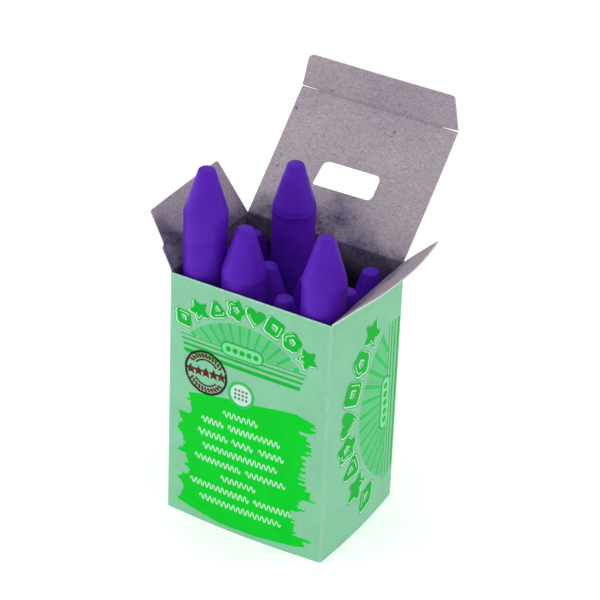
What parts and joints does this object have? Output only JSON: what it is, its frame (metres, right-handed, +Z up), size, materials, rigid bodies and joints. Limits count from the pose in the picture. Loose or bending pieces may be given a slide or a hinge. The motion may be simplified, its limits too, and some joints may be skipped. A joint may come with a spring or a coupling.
{
  "type": "carton of wax crayons",
  "caption": "Open tuck-top boxboard carton holding thick cone-tipped wax crayons of one colour, some pulled part way up, with a windowed lid and dust flaps.",
  "frame": {"origin": "middle of the carton's base, on the surface it stands on", "axes": "+Z up, -Y the printed front, +Y the back panel with the lid, +X the right side panel"},
  "size_m": [0.0785, 0.0759, 0.128],
  "materials": {
    "boxboard": "satin coated print outside, grey recycled board inside",
    "adhesive": "dried white glue",
    "wax": "satin wax, one violet throughout"
  },
  "bodies": {
    "carton": {"front_panel": "boxboard", "back_panel": "boxboard", "left_side_panel": "boxboard", "right_side_panel": "boxboard", "glue_flap": "boxboard", "seam_glue": "adhesive", "bottom_dust_flap_left": "boxboard", "bottom_dust_flap_right": "boxboard"},
    "lid": {"lid_panel": "boxboard"},
    "lid_tuck": {"lid_tuck_flap": "boxboard"},
    "left_flap": {"left_dust_flap": "boxboard"},
    "right_flap": {"right_dust_flap": "boxboard"},
    "base": {"bottom_panel": "boxboard"},
    "base_tuck": {"bottom_tuck_flap": "boxboard"},
    "crayon_front_1": {"crayon_front_1": "wax"},
    "crayon_front_2": {"crayon_front_2": "wax"},
    "crayon_front_3": {"crayon_front_3": "wax"},
    "crayon_front_4": {"crayon_front_4": "wax"},
    "crayon_middle_1": {"crayon_middle_1": "wax"},
    "crayon_middle_2": {"crayon_middle_2": "wax"},
    "crayon_middle_3": {"crayon_middle_3": "wax"},
    "crayon_middle_4": {"crayon_middle_4": "wax"},
    "crayon_back_1": {"crayon_back_1": "wax"},
    "crayon_back_2": {"crayon_back_2": "wax"},
    "crayon_back_3": {"crayon_back_3": "wax"},
    "crayon_back_4": {"crayon_back_4": "wax"}
  },
  "joints": [
    {"name": "lid_hinge", "type": "hinge", "parent": "carton", "child": "lid", "pos_m": [0, 0.0222, 0.0854], "axis": [-1, 0, 0], "range_deg": [-45.5, 125]},
    {"name": "lid_tuck_hinge", "type": "hinge", "parent": "lid", "child": "lid_tuck", "pos_m": [0, 0.05348, 0.11614], "axis": [-1, 0, 0], "range_deg": [-45, 44.4]},
    {"name": "left_flap_hinge", "type": "hinge", "parent": "carton", "child": "left_flap", "pos_m": [-0.02795, 0, 0.0854], "axis": [0, -1, 0], "range_deg": [-26.3, 149]},
    {"name": "right_flap_hinge", "type": "hinge", "parent": "carton", "child": "right_flap", "pos_m": [0.02795, 0, 0.0854], "axis": [0, 1, 0], "range_deg": [-45.5, 130]},
    {"name": "base_hinge", "type": "hinge", "parent": "carton", "child": "base", "pos_m": [0, 0.0222, 0], "axis": [1, 0, 0], "range_deg": [0, 85]},
    {"name": "base_tuck_hinge", "type": "hinge", "parent": "base", "child": "base_tuck", "pos_m": [0, -0.0212, 0.00045], "axis": [1, 0, 0], "range_deg": [-85, 0]},
    {"name": "crayon_front_1_slide", "type": "slide", "parent": "carton", "child": "crayon_front_1", "axis": [0, 0, 1], "range_m": [-0.0354, 0.0546]},
    {"name": "crayon_front_2_slide", "type": "slide", "parent": "carton", "child": "crayon_front_2", "axis": [0, 0, 1], "range_m": [-0.0196, 0.0704]},
    {"name": "crayon_front_3_slide", "type": "slide", "parent": "carton", "child": "crayon_front_3", "axis": [0, 0, 1], "range_m": [0, 0.09]},
    {"name": "crayon_front_4_slide", "type": "slide", "parent": "carton", "child": "crayon_front_4", "axis": [0, 0, 1], "range_m": [-0.0254, 0.0646]},
    {"name": "crayon_middle_1_slide", "type": "slide", "parent": "carton", "child": "crayon_middle_1", "axis": [0, 0, 1], "range_m": [0, 0.09]},
    {"name": "crayon_middle_2_slide", "type": "slide", "parent": "carton", "child": "crayon_middle_2", "axis": [0, 0, 1], "range_m": [0, 0.09]},
    {"name": "crayon_middle_3_slide", "type": "slide", "parent": "carton", "child": "crayon_middle_3", "axis": [0, 0, 1], "range_m": [0, 0.09]},
    {"name": "crayon_middle_4_slide", "type": "slide", "parent": "carton", "child": "crayon_middle_4", "axis": [0, 0, 1], "range_m": [0, 0.09]},
    {"name": "crayon_back_1_slide", "type": "slide", "parent": "carton", "child": "crayon_back_1", "axis": [0, 0, 1], "range_m": [0, 0.09]},
    {"name": "crayon_back_2_slide", "type": "slide", "parent": "carton", "child": "crayon_back_2", "axis": [0, 0, 1], "range_m": [-0.0285, 0.0615]},
    {"name": "crayon_back_3_slide", "type": "slide", "parent": "carton", "child": "crayon_back_3", "axis": [0, 0, 1], "range_m": [0, 0.09]},
    {"name": "crayon_back_4_slide", "type": "slide", "parent": "carton", "child": "crayon_back_4", "axis": [0, 0, 1], "range_m": [0, 0.09]}
  ],
  "couplings": [
    {"joint": "base_tuck_hinge", "follows": "base_hinge", "ratio": -1}
  ]
}
